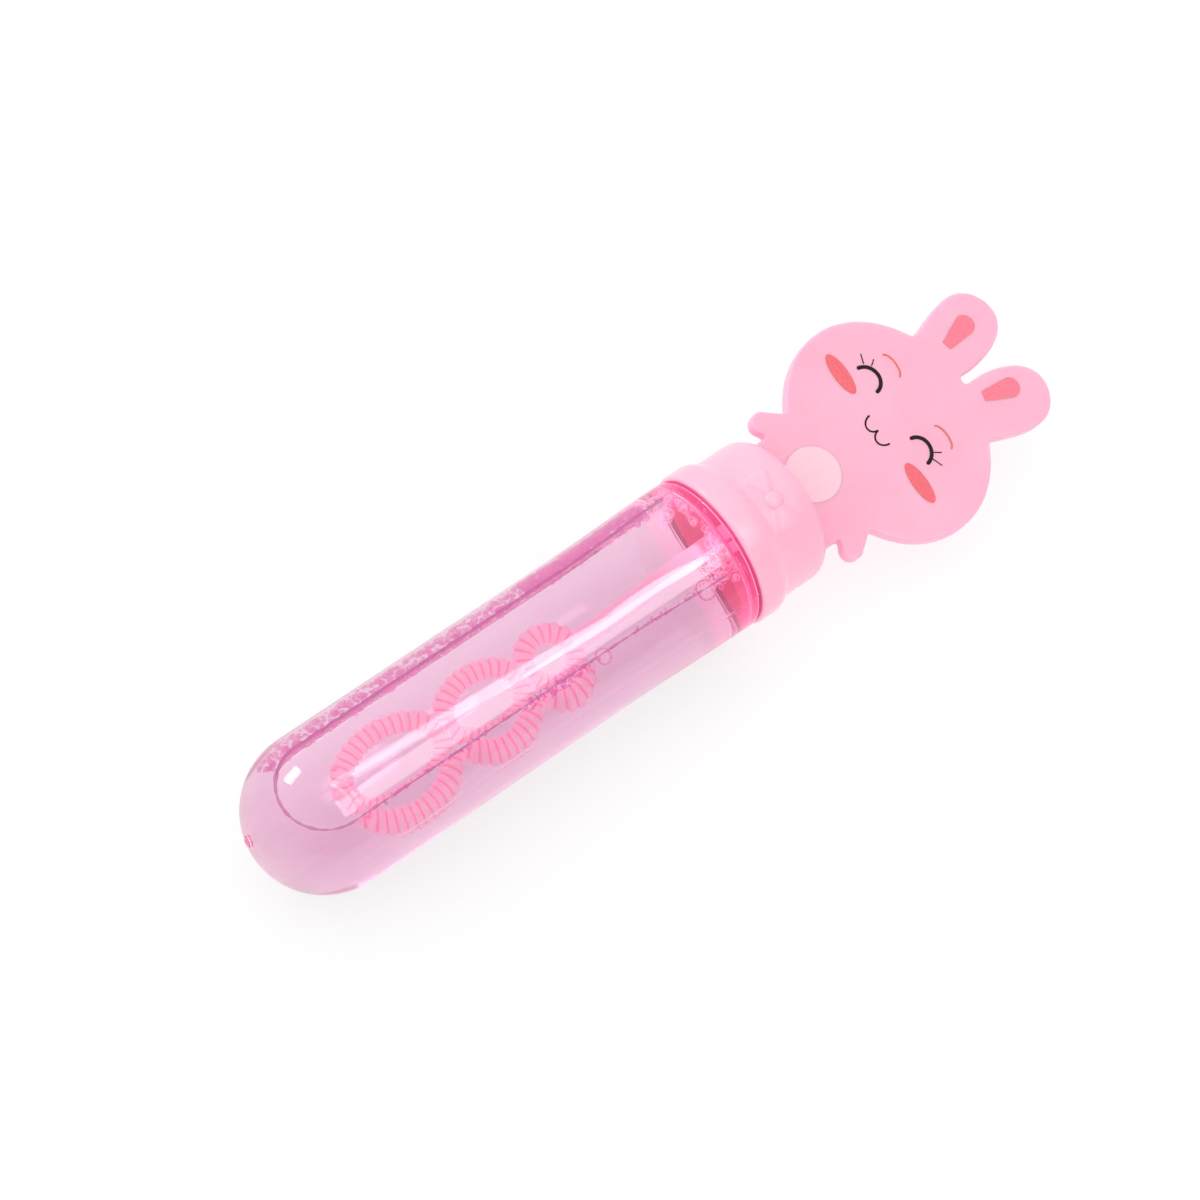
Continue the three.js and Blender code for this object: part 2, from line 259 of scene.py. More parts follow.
def laid(points, roll=0.0):
    """Points (along, across, up) in millimetres, rolled about the tube's axis, as metres in the frame."""
    along, across, up = np.moveaxis(np.asarray(points, float), -1, 0)
    side = across * math.cos(roll) - up * math.sin(roll)
    height = across * math.sin(roll) + up * math.cos(roll)
    return np.stack([along - LENGTH_MIDDLE, side, height + RIM_RADIUS], axis=-1) * MM


def grid_faces(rows, columns, wrap_rows, wrap_columns):
    """Corner numbers of the four-sided faces between neighbouring rows and columns of a grid of points."""
    row, column = np.meshgrid(
        np.arange(rows if wrap_rows else rows - 1),
        np.arange(columns if wrap_columns else columns - 1),
        indexing="ij",
    )
    below, beside = (row + 1) % rows, (column + 1) % columns
    corners = [
        row * columns + column,
        below * columns + column,
        below * columns + beside,
        row * columns + beside,
    ]
    return np.stack(corners, axis=-1).reshape(-1, 4)


def build(name, grids, material, body, roll=0.0, flats=(), sharp=40):
    """A piece from grids of points: each is (points, wrap_rows, wrap_columns). Flats are extra faces over the
    first grid's points. Grids are joined where their points meet, collapsed faces go, and all faces turn
    outwards. Edges that bend by more than sharp, in degrees, look sharp."""
    points, faces, count = [], [list(face) for face in flats], 0
    for grid, wrap_rows, wrap_columns in grids:
        rows, columns = grid.shape[:2]
        points.append(grid.reshape(-1, 3))
        faces += (grid_faces(rows, columns, wrap_rows, wrap_columns) + count).tolist()
        count += rows * columns
    mesh = bpy.data.meshes.new(name)
    mesh.from_pydata(laid(np.concatenate(points), roll).tolist(), [], faces)
    shape = bmesh.new()
    shape.from_mesh(mesh)
    bmesh.ops.remove_doubles(shape, verts=shape.verts, dist=JOIN_DISTANCE)
    bmesh.ops.dissolve_degenerate(shape, edges=shape.edges, dist=COLLAPSED_LENGTH)
    bmesh.ops.recalc_face_normals(shape, faces=shape.faces)
    shape.to_mesh(mesh)
    shape.free()
    mesh.polygons.foreach_set("use_smooth", np.ones(len(mesh.polygons), bool))
    mesh.set_sharp_from_angle(angle=math.radians(sharp))
    mesh.materials.append(material)
    piece = bpy.data.objects.new(name, mesh)
    bpy.context.scene.collection.objects.link(piece)
    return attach(piece, body)


def face_places(piece):
    """How far along the tube each face's centre is, and how far from the tube's axis, in millimetres."""
    centres = np.zeros(len(piece.data.polygons) * 3)
    piece.data.polygons.foreach_get("center", centres)
    along, side, height = centres.reshape(-1, 3).T / MM
    return along + LENGTH_MIDDLE, np.hypot(side, height - RIM_RADIUS)


def give_second(piece, material, chosen):
    """The chosen faces take a second material."""
    piece.data.materials.append(material)
    piece.data.polygons.foreach_set("material_index", chosen.astype(np.int32))
    return piece


def eased(share):
    """A share from 0 to 1 that starts and ends level."""
    share = np.clip(share, 0, 1)
    return share * share * (3 - 2 * share)


def arc(along, radius, size, start, end, steps):
    """Profile points on a circle round (along, radius), at angles counted from the radial direction."""
    angle = np.radians(np.linspace(start, end, steps + 1))
    return np.stack([along + size * np.sin(angle), radius + size * np.cos(angle)], axis=-1)


def turned(along, radius, angles):
    """A profile turned about the tube's axis: across is radius times sine, up is radius times cosine.
    Radius has one value for each row, or one for each row and angle."""
    radius = radius[:, None] if radius.ndim == 1 else radius
    shape = np.broadcast_shapes(radius.shape, angles.shape, (len(along), 1))
    across = np.broadcast_to(radius * np.sin(angles), shape)
    up = np.broadcast_to(radius * np.cos(angles), shape)
    return np.stack([np.broadcast_to(along[:, None], shape), across, up], axis=-1)


def bezier(points, steps):
    """A cubic curve from the first point to the last, drawn to the two between them."""
    share = np.linspace(0, 1, steps, endpoint=False)[:, None]
    first, second, third, fourth = np.asarray(points, float)
    rest = 1 - share
    return rest**3 * first + 3 * rest**2 * share * second + 3 * rest * share**2 * third + share**3 * fourth


def outline_distance(points, outline):
    """Distance from points to a closed outline, less than zero inside it: the nearest of its sides, signed by
    how many sides a line from the point crosses."""
    start, end = outline, np.roll(outline, -1, axis=0)
    side = end - start
    to_point = points[:, None] - start
    share = np.clip((to_point * side).sum(-1) / np.maximum((side * side).sum(-1), 1e-12), 0, 1)
    gap = np.linalg.norm(to_point - share[..., None] * side, axis=-1).min(1)
    level = points[:, None, 1]
    crosses = (start[:, 1] > level) != (end[:, 1] > level)
    slope = side[:, 0] / np.where(side[:, 1] == 0, 1e-12, side[:, 1])
    crosses &= points[:, None, 0] < start[:, 0] + (level - start[:, 1]) * slope
    return np.where(crosses.sum(1) % 2 == 1, -gap, gap)


def unit(vectors):
    """Vectors brought to the length of one."""
    return vectors / np.maximum(np.linalg.norm(vectors, axis=-1, keepdims=True), 1e-9)


def walk(line):
    """How far along a line each of its points is."""
    return np.concatenate([[0], np.cumsum(np.linalg.norm(np.diff(line, axis=0), axis=1))])


def at_marks(line, marks):
    """The points of a flat line at those distances along it."""
    walked = walk(line)
    return np.stack([np.interp(marks, walked, line[:, i]) for i in (0, 1)], axis=-1)


def even_spacing(points, spacing):
    """A closed line with new points at even steps along it."""
    closed = np.concatenate([points, points[:1]])
    length = walk(closed)[-1]
    return at_marks(closed, np.linspace(0, length, int(length / spacing), endpoint=False))


# Materials

def new_material(name):
    """A material with its node lists and its shader."""
    material = bpy.data.materials.new(name)
    material.use_nodes = True
    tree = material.node_tree
    return material, tree.nodes, tree.links, tree.nodes["Principled BSDF"]


def noise(nodes, links, scale, detail=3.0):
    """Noise on the piece's own coordinates, with scale in waves per metre."""
    place = nodes.new("ShaderNodeTexCoord")
    texture = nodes.new("ShaderNodeTexNoise")
    texture.inputs["Scale"].default_value = scale
    texture.inputs["Detail"].default_value = detail
    links.new(place.outputs["Object"], texture.inputs["Vector"])
    return texture.outputs["Fac"]


def tint(nodes, links, value, low, high):
    """A colour between low and high as the value goes through the middle of its range."""
    ramp = nodes.new("ShaderNodeValToRGB")
    ramp.color_ramp.elements[0].position = NOISE_LOW
    ramp.color_ramp.elements[0].color = (*low, 1)
    ramp.color_ramp.elements[1].position = NOISE_HIGH
    ramp.color_ramp.elements[1].color = (*high, 1)
    links.new(value, ramp.inputs["Fac"])
    return ramp.outputs["Color"]


def spread(nodes, links, value, low, high):
    """The value's middle range stretched from low to high."""
    span = nodes.new("ShaderNodeMapRange")
    span.inputs["From Min"].default_value = NOISE_LOW
    span.inputs["From Max"].default_value = NOISE_HIGH
    span.inputs["To Min"].default_value = low
    span.inputs["To Max"].default_value = high
    links.new(value, span.inputs["Value"])
    return span.outputs["Result"]


def relief(nodes, links, value, depth):
    """A bump of that depth in millimetres."""
    bump = nodes.new("ShaderNodeBump")
    bump.inputs["Strength"].default_value = 1.0
    bump.inputs["Distance"].default_value = depth * MM
    links.new(value, bump.inputs["Height"])
    return bump.outputs["Normal"]


def moulded_plastic(name, low, high, roughness, glow, depth=0.004, painted_glow=(1, 1, 1), strength=0.0):
    """Soft translucent plastic: clouded colour, patchy gloss and the faint ripple of a moulded skin.
    The last two arguments give the colour and the strength of a painted glow, which stands in for light that
    comes through it from its other side."""
    material, nodes, links, shader = new_material(name)
    clouds = noise(nodes, links, 90)
    gloss = noise(nodes, links, 260)
    ripple = noise(nodes, links, 700, detail=2.0)
    links.new(tint(nodes, links, clouds, low, high), shader.inputs["Base Color"])
    links.new(spread(nodes, links, gloss, *roughness), shader.inputs["Roughness"])
    links.new(relief(nodes, links, ripple, depth), shader.inputs["Normal"])
    shader.inputs["Subsurface Weight"].default_value = glow
    shader.inputs["Subsurface Radius"].default_value = (1.0, 0.4, 0.55)
    shader.inputs["Subsurface Scale"].default_value = 3 * MM
    shader.inputs["IOR"].default_value = 1.49
    shader.inputs["Emission Color"].default_value = (*painted_glow, 1)
    shader.inputs["Emission Strength"].default_value = strength
    return material


def paint_glow_along(material, ends, strengths):
    """The plastic's painted glow goes from one strength to the other between two places along the
    tube."""
    tree = material.node_tree
    place = tree.nodes.new("ShaderNodeTexCoord")
    parts = tree.nodes.new("ShaderNodeSeparateXYZ")
    span = tree.nodes.new("ShaderNodeMapRange")
    span.inputs["From Min"].default_value = (ends[0] - LENGTH_MIDDLE) * MM
    span.inputs["From Max"].default_value = (ends[1] - LENGTH_MIDDLE) * MM
    span.inputs["To Min"].default_value = strengths[0]
    span.inputs["To Max"].default_value = strengths[1]
    tree.links.new(place.outputs["Object"], parts.inputs["Vector"])
    tree.links.new(parts.outputs["X"], span.inputs["Value"])
    tree.links.new(span.outputs["Result"], tree.nodes["Principled BSDF"].inputs["Emission Strength"])


def paint_glow_by_shade(material, open_colour, shaded_colour):
    """The plastic's painted glow goes from the open places' colour to a darker colour of painted shade, by
    the piece's shade attribute."""
    nodes, links = material.node_tree.nodes, material.node_tree.links
    shade = nodes.new("ShaderNodeAttribute")
    shade.attribute_name = "shade"
    colour = tint(nodes, links, shade.outputs["Fac"], open_colour, shaded_colour)
    links.new(colour, nodes["Principled BSDF"].inputs["Emission Color"])


def clear_material(name, low, high, roughness, ior, depth, painted_pink_glow):
    """Clear stuff that bends light, with faint clouds in its tint and a slight ripple in its skin.
    Its last argument is the strength of a painted pink glow, which stands in for the light that it scatters
    and that adds up where light runs round inside it."""
    material, nodes, links, shader = new_material(name)
    clouds = noise(nodes, links, 120)
    gloss = noise(nodes, links, 400)
    ripple = noise(nodes, links, 160, detail=1.0)
    links.new(tint(nodes, links, clouds, low, high), shader.inputs["Base Color"])
    links.new(spread(nodes, links, gloss, *roughness), shader.inputs["Roughness"])
    links.new(relief(nodes, links, ripple, depth), shader.inputs["Normal"])
    shader.inputs["Transmission Weight"].default_value = 1.0
    shader.inputs["IOR"].default_value = ior
    shader.inputs["Emission Color"].default_value = (*PAINTED_PINK_GLOW, 1)
    shader.inputs["Emission Strength"].default_value = painted_pink_glow
    return material


def absorb(material, colour, density):
    """Light of the other colours is lost on its way through the material."""
    tree = material.node_tree
    volume = tree.nodes.new("ShaderNodeVolumeAbsorption")
    volume.inputs["Color"].default_value = (*colour, 1)
    volume.inputs["Density"].default_value = density
    tree.links.new(volume.outputs["Volume"], tree.nodes["Material Output"].inputs["Volume"])


def ink(name, low, high):
    """Printed ink: a thin film with a fine grain in its colour."""
    material, nodes, links, shader = new_material(name)
    grain = noise(nodes, links, 2500)
    gloss = noise(nodes, links, 900)
    links.new(tint(nodes, links, grain, low, high), shader.inputs["Base Color"])
    links.new(spread(nodes, links, gloss, 0.5, 0.65), shader.inputs["Roughness"])
    shader.inputs["Specular IOR Level"].default_value = 0.15
    return material


def bubble_film(name, rim, middle, glow, cover, rim_width=0.35):
    """A bubble's skin, which closes up towards its rim. Cover is how much it hides where it is seen square
    on, and a larger rim width brings the rim further in. Glow is the strength of a painted glow, whose colour
    turns to the rim's deeper colour as the skin turns away: painted shade at the rim."""
    material, nodes, links, shader = new_material(name)
    swirl = noise(nodes, links, 1500)
    links.new(tint(nodes, links, swirl, rim, middle), shader.inputs["Base Color"])
    edge = nodes.new("ShaderNodeLayerWeight")
    edge.inputs["Blend"].default_value = rim_width
    facing = edge.outputs["Facing"]
    links.new(spread(nodes, links, facing, cover, RIM_COVER), shader.inputs["Alpha"])
    links.new(tint(nodes, links, facing, middle, rim), shader.inputs["Emission Color"])
    shader.inputs["Emission Strength"].default_value = glow
    shader.inputs["Roughness"].default_value = 0.06
    return material


# The clear materials and the soap give out a painted pink glow; the second clear material, on the shoulder,
# the neck and the gate mark, glows more strongly.
clear_tube = clear_material(
    "clear_tube",
    low=(1.0, 0.95, 0.98),
    high=(1.0, 0.98, 0.99),
    roughness=(0.0, 0.015),
    ior=1.5,
    depth=0.002,
    painted_pink_glow=0.016,
)
clear_painted_glow = clear_material(
    "clear_painted_glow",
    low=(1.0, 0.9, 0.95),
    high=(1.0, 0.94, 0.97),
    roughness=(0.0, 0.015),
    ior=1.5,
    depth=0.002,
    painted_pink_glow=0.09,
)
soap_solution = clear_material(
    "soap_solution",
    low=(1.0, 0.97, 0.99),
    high=(1.0, 1.0, 1.0),
    roughness=(0.0, 0.004),
    ior=1.33,
    depth=0.001,
    painted_pink_glow=0.016,
)
absorb(soap_solution, colour=(0.69, 0.2, 0.54), density=33.0)
# The films near the cap are paler and brighter than the others: painted highlight.
foam_film = bubble_film("foam_film", rim=(0.5, 0.015, 0.3), middle=(0.84, 0.13, 0.52), glow=0.38, cover=0.3)
cap_foam_film = bubble_film(
    "cap_foam_film", rim=(1.0, 0.3, 0.6), middle=(1.0, 0.6, 0.8), glow=0.5, cover=0.05
)
large_bubble_film = bubble_film(
    "large_bubble_film", rim=(0.7, 0.03, 0.28), middle=(1.0, 0.72, 0.86), glow=0.4, cover=0.2, rim_width=0.6
)
edge_film = bubble_film("edge_film", rim=(0.48, 0.04, 0.28), middle=(0.6, 0.1, 0.4), glow=0.3, cover=0.4)
cap_plastic = moulded_plastic(
    "cap_plastic", low=(0.97, 0.46, 0.61), high=(0.99, 0.5, 0.65), roughness=(0.3, 0.42), glow=0.7
)
# The cap's outside gives out a faint painted glow.
cap_shell_plastic = moulded_plastic(
    "cap_shell_plastic",
    low=(0.97, 0.44, 0.59),
    high=(0.99, 0.49, 0.63),
    roughness=(0.17, 0.25),
    glow=0.12,
    painted_glow=(1.0, 0.6, 0.75),
    strength=0.06,
)
# Painted shade and painted glow: the inside of the cap and its thread are drawn darker and deeper pink than
# the same plastic outside, with a crimson glow.
cap_inside_painted_shade = moulded_plastic(
    "cap_inside_painted_shade",
    low=(0.72, 0.1, 0.28),
    high=(0.76, 0.13, 0.32),
    roughness=(0.3, 0.42),
    glow=0.2,
    painted_glow=(1.0, 0.06, 0.24),
    strength=0.32,
)
# The wand gives out a painted glow that grows towards the cap, and whose colour turns darker, as painted
# shade, in the grooves and where the stem goes into the cap.
wand_plastic = moulded_plastic(
    "wand_plastic", low=(0.96, 0.42, 0.54), high=(0.98, 0.47, 0.59), roughness=(0.32, 0.45), glow=0.4
)
paint_glow_along(wand_plastic, STEM_PAINTED_GLOW_ENDS, STEM_PAINTED_GLOW)
paint_glow_by_shade(wand_plastic, open_colour=(1.0, 0.62, 0.84), shaded_colour=(0.72, 0.2, 0.38))
liner_foam = moulded_plastic(
    "liner_foam", low=(0.92, 0.87, 0.88), high=(0.97, 0.94, 0.95), roughness=(0.7, 0.85), glow=0.1, depth=0.02
)
blush_ink = ink("blush_ink", low=(0.86, 0.14, 0.17), high=(0.92, 0.19, 0.22))
ear_ink = ink("ear_ink", low=(0.93, 0.2, 0.28), high=(0.97, 0.25, 0.33))
belly_ink = ink("belly_ink", low=(0.96, 0.62, 0.7), high=(0.98, 0.67, 0.75))
line_ink = ink("line_ink", low=(0.012, 0.006, 0.008), high=(0.03, 0.012, 0.016))
brow_ink = ink("brow_ink", low=(0.72, 0.16, 0.16), high=(0.8, 0.22, 0.22))


# Tube

def wall_profile(inset):
    """The tube's wall from the pole of its round end to the shoulder, moved in by inset:
    a quarter circle, a straight run, an eased flare and a rounded shoulder."""
    rounding_centre = TUBE_LENGTH - inset - SHOULDER_ROUNDING
    share = np.linspace(0, 1, 16, endpoint=False)
    flare = np.stack(
        [
            rounding_centre - FLARE_LENGTH * (1 - share),
            TUBE_RADIUS - inset + (MOUTH_RADIUS - TUBE_RADIUS) * eased(share),
        ],
        axis=-1,
    )
    dome = arc(0, 0, TUBE_RADIUS - inset, -90, 0, 40)
    shoulder = arc(rounding_centre, MOUTH_RADIUS - inset - SHOULDER_ROUNDING, SHOULDER_ROUNDING, 0, 90, 8)
    return np.concatenate([dome, flare, shoulder])


def tube_angles():
    """Angles round the tube, closer together on the two mould seams."""
    near = SEAM_HALF_WIDTH / TUBE_RADIUS * np.linspace(-2, 2, 13)
    angles = np.concatenate([ROUND, SEAM_ANGLE + near, SEAM_ANGLE + np.pi + near])
    return np.unique(np.mod(angles, 2 * np.pi))


def bottle_tube():
    """Outer wall, neck and inner wall as one profile turned about the axis. Each mould seam adds a
    bell-shaped ridge to the outer radius, and a low ridge of the same form runs round the dry part of the
    inner wall. The shoulder and the neck take a stronger painted pink glow, which stands in for the cap's
    light."""
    outside = wall_profile(0)
    neck = np.array(
        [
            (TUBE_LENGTH, NECK_RADIUS),
            (NECK_TOP - NECK_CHAMFER, NECK_RADIUS),
            (NECK_TOP, NECK_RADIUS - NECK_CHAMFER),
            (NECK_TOP, NECK_INNER_RADIUS),
            (TUBE_LENGTH - TUBE_WALL, NECK_INNER_RADIUS),
        ]
    )
    inside = wall_profile(TUBE_WALL)
    dome = inside[:, 0] <= 0
    from_ridge = np.linspace(-CORE_RIDGE_REACH, CORE_RIDGE_REACH, 17)
    straight = np.full_like(from_ridge, TUBE_INNER_RADIUS)
    ridge = np.stack([CORE_RIDGE_PLACE + CORE_RIDGE_HALF_WIDTH * from_ridge, straight], axis=-1)
    inside = np.concatenate([inside[dome], ridge, inside[~dome]])
    profile = np.concatenate([outside, neck, inside[::-1]])
    along, radius = profile.T
    angles = tube_angles()
    outer = np.arange(len(profile)) < len(outside)
    from_seam = np.abs(np.sin(angles - SEAM_ANGLE)) * TUBE_RADIUS
    seam = SEAM_HEIGHT * np.exp(-((from_seam / SEAM_HALF_WIDTH) ** 2))
    reach = eased(radius / TUBE_RADIUS * 2 - 1) * outer
    from_ridge = (along - CORE_RIDGE_PLACE) / CORE_RIDGE_HALF_WIDTH
    ridge = CORE_RIDGE_HEIGHT * np.exp(-(from_ridge**2)) * ~outer
    dry = eased((np.cos(angles) * TUBE_RADIUS - LIQUID_LEVEL) / MENISCUS_REACH)
    points = turned(along, radius[:, None] + reach[:, None] * seam - ridge[:, None] * dry, angles)
    tube = build("bottle_tube_clear", [(points, False, True)], clear_tube, "tube")
    place, _ = face_places(tube)
    return give_second(tube, clear_painted_glow, place > PAINTED_GLOW_START)


def thread(name, radius, start, phase, material, body, roll=0.0):
    """A rounded ridge carried along a helix: half an ellipse above the wall and half sunk into it,
    shrinking to a point at both ends."""
    share = np.linspace(0, 1, int(THREAD_TURNS * THREAD_STEPS))[:, None]
    turn = THREAD_TURNS * share
    around = full_turn(12)
    size = np.sqrt(eased(turn / THREAD_RUN_OUT) * eased((THREAD_TURNS - turn) / THREAD_RUN_OUT))
    angle = 2 * np.pi * turn + phase
    distance = radius + THREAD_HEIGHT * size * np.cos(around)
    along = start + THREAD_PITCH * turn + THREAD_HALF_WIDTH * size * np.sin(around)
    points = np.stack([along, distance * np.sin(angle), distance * np.cos(angle)], axis=-1)
    return build(name, [(points, False, True)], material, body, roll)


def gate_mark():
    """The pip where the tube was filled with plastic: a low disc with a broken top, turned about a line from
    the centre of the round end."""
    reach, radius = np.concatenate(
        [
            [(TUBE_RADIUS - TUBE_WALL / 2, 0), (TUBE_RADIUS - TUBE_WALL / 2, GATE_RADIUS)],
            arc(TUBE_RADIUS + GATE_HEIGHT / 2, GATE_RADIUS - GATE_ROUNDING, GATE_ROUNDING, 0, 90, 4),
            [(TUBE_RADIUS + GATE_HEIGHT / 2, GATE_RADIUS / 2), (TUBE_RADIUS + GATE_HEIGHT / 4, 0)],
        ]
    ).T
    out = unit(np.array([-1, *GATE_SIDE]))
    aside = np.cross(out, [0, 0, 1])
    points = turned(reach, radius, ROUND[::5]) @ np.stack([out, aside, np.cross(out, aside)])
    return build("gate_mark", [(points, False, True)], clear_painted_glow, "tube")


# Soap solution

def liquid_stations():
    """Distances along the straight part of the tube with the liquid's radius there, from the centre of the
    round end past the shoulder to the end of the neck."""
    inner = wall_profile(TUBE_WALL)
    inner = inner[inner[:, 0] >= 0] + [0, WALL_OVERLAP]
    last = inner[-1, 0] + WALL_OVERLAP
    neck = NECK_INNER_RADIUS + WALL_OVERLAP
    inner = inner[inner[:, 1] > neck + 1]  # the end of the rounding, close to the neck, is left square
    end = [(last, inner[-1, 1]), (last, neck), (NECK_TOP, neck), (NECK_TOP, 0)]
    return np.concatenate([inner, end])


def liquid_body():
    """The liquid's skin is the tube's inner wall below the level, and on top a surface that climbs the wall.
    The wall has rows at even angles from the water line down to the lowest line, and columns round the
    vertical axis of the round end and then along the tube. The surface rises by an exponential of the
    distance to the wall, and its last row is the middle of the flat end in the neck."""
    radius = TUBE_INNER_RADIUS + WALL_OVERLAP
    half_width = math.sqrt(radius**2 - WATER_LINE**2)
    turn = np.radians(np.linspace(90, 0, 33))
    down = np.linspace(0, 1, 49)[:, None]

    start = math.acos(WATER_LINE / radius)
    angle = start + (np.pi - start) * down
    ball = [-np.sin(angle) * np.sin(turn), np.sin(angle) * np.cos(turn), np.cos(angle)]
    sphere = radius * np.stack(np.broadcast_arrays(*ball), axis=-1)
    along, wide = liquid_stations()[1:].T
    start = np.arccos(np.clip(WATER_LINE / np.maximum(wide, 1e-6), -1, 1))
    angle = start + (np.pi - start) * down
    straight = np.stack(np.broadcast_arrays(along, wide * np.sin(angle), wide * np.cos(angle)), axis=-1)
    wall = np.concatenate([sphere, straight], axis=1)

    open_rows = wide > WATER_LINE
    edge_along = np.concatenate([-half_width * np.sin(turn), along[open_rows]])
    edge_side = np.concatenate([half_width * np.cos(turn), np.sqrt(wide[open_rows] ** 2 - WATER_LINE**2)])
    share = np.sin(np.linspace(-np.pi / 2, np.pi / 2, 41))
    side = edge_side[:, None] * share
    from_middle = np.where(edge_along[:, None] < 0, np.hypot(edge_along[:, None], side), np.abs(side))
    limit = np.where(edge_along < 0, half_width, edge_side)[:, None]
    climb = MENISCUS_RISE * np.exp((from_middle - limit) / MENISCUS_REACH)
    surface = np.stack(np.broadcast_arrays(edge_along[:, None], side, LIQUID_LEVEL + climb), axis=-1)
    flat_end = np.broadcast_to([NECK_TOP, 0, 0], surface[:1].shape)
    surface = np.concatenate([surface, flat_end])

    grids = [(wall, False, False), (wall * [1, -1, 1], False, False), (surface, False, False)]
    return build("soap_solution_body", grids, soap_solution, "tube")


def water_edge():
    """The bead of liquid along its edge on the wall, down the far side, round the air pocket's end and back
    along the near side: a circle at each point of that path. The radius wavers as two sines of the distance
    walked, and grows towards the far side."""
    along, wide = liquid_stations().T
    before_cap = along < PAINTED_GLOW_START
    along, wide = along[before_cap], wide[before_cap]
    half_width = np.sqrt(wide**2 - WATER_LINE**2) - EDGE_BEAD_RADIUS / 2
    turn = np.linspace(0, np.pi, 48)
    side = np.stack([along, half_width], axis=-1)[::-1]
    end = half_width[0] * np.stack([-np.sin(turn), np.cos(turn)], axis=-1)
    corners = np.concatenate([side[:-1], end, (side * [1, -1])[::-1][1:]])
    marks = np.linspace(0, walk(corners)[-1], 420)
    path = at_marks(corners, marks)
    out = unit(np.where(path[:, :1] < 0, path, path * [0, 1]))
    around = full_turn(8)
    waver = sum(share * np.sin(rate * marks) for share, rate in EDGE_WAVERS)
    waver = waver + EDGE_FAR_SWELL * path[:, 1] / half_width[0]
    size = EDGE_BEAD_RADIUS * (1 + waver[:, None])
    size[[0, -1]] = 0
    flat = path[:, None] + out[:, None] * (size * np.cos(around))[..., None]
    up = WATER_LINE + size * np.sin(around)
    points = np.concatenate([flat, up[..., None]], axis=-1)
    return build("water_edge", [(points, False, True)], edge_film, "tube")


def bubble_grid(centres, radii, rows):
    """Small spheres with that many rows of faces, one beside the other in one grid list."""
    tilt = np.linspace(0, np.pi, rows + 1)[:, None]
    turn = full_turn(2 * rows - 2)
    ball = [np.sin(tilt) * np.cos(turn), np.sin(tilt) * np.sin(turn), np.cos(tilt)]
    ball = np.stack(np.broadcast_arrays(*ball), axis=-1)
    return [(ball * radius + centre, False, True) for centre, radius in zip(centres, radii)]


def foam(name, stretches, film, seed, rows=BUBBLE_ROWS):
    """Bubbles that touch the inner wall near the liquid's edge. A stretch gives the ends along the tube, the
    angles from straight up with the far side positive, how many there are, and the least and most radius.
    Small radii are more common, as the square of an even share."""
    rng = np.random.default_rng(seed)
    centres, radii = [], []
    for ends, angles, count, sizes in stretches:
        radius = sizes[0] + (sizes[1] - sizes[0]) * rng.random(count) ** 2
        angle = np.radians(rng.uniform(*angles, count))
        along = rng.uniform(*ends, count)
        reach = TUBE_INNER_RADIUS - radius
        reach = reach * np.sqrt(np.clip(1 - (np.minimum(along, 0) / reach) ** 2, 0, 1))
        centres.append(np.stack([along, reach * np.sin(angle), reach * np.cos(angle)], axis=-1))
        radii.append(radius)
    grids = bubble_grid(np.concatenate(centres), np.concatenate(radii), rows)
    return build(name, grids, film, "tube", sharp=180)


# Cap

def bow_lobe_outline():
    """One lobe: two straight sides that spread from the knot, and a rounded end."""
    root, end, corner = BOW_ROOT_HALF_HEIGHT, BOW_END_HALF_HEIGHT, BOW_LOBE_CORNER
    bulge = corner + BOW_LOBE_BULGE
    lobe = np.concatenate(
        [
            [(root, BOW_LOBE_START)],
            bezier([(end, corner), (end, bulge), (-end, bulge), (-end, corner)], 24),
            [(-end, corner), (-root, BOW_LOBE_START)],
        ]
    )
    return lobe + [RIM_BOTTOM + BOW_HEIGHT, 0]


def bow_relief(along, across):
    """Height of the bow over the cap: two lobes with eased edges, and half a flattened ball as the knot."""
    along, across = np.broadcast_arrays(along, across)
    points = np.stack([along, np.abs(across)], axis=-1).reshape(-1, 2)
    inside = -outline_distance(points, bow_lobe_outline()).reshape(along.shape)
    lobes = BOW_RELIEF * eased(inside / BOW_EDGE)
    from_knot = np.hypot(along - RIM_BOTTOM - BOW_HEIGHT, across)
    knot = BOW_KNOT_RELIEF * np.sqrt(np.clip(1 - (from_knot / BOW_KNOT_RADIUS) ** 2, 0, 1))
    return np.maximum(lobes, knot)


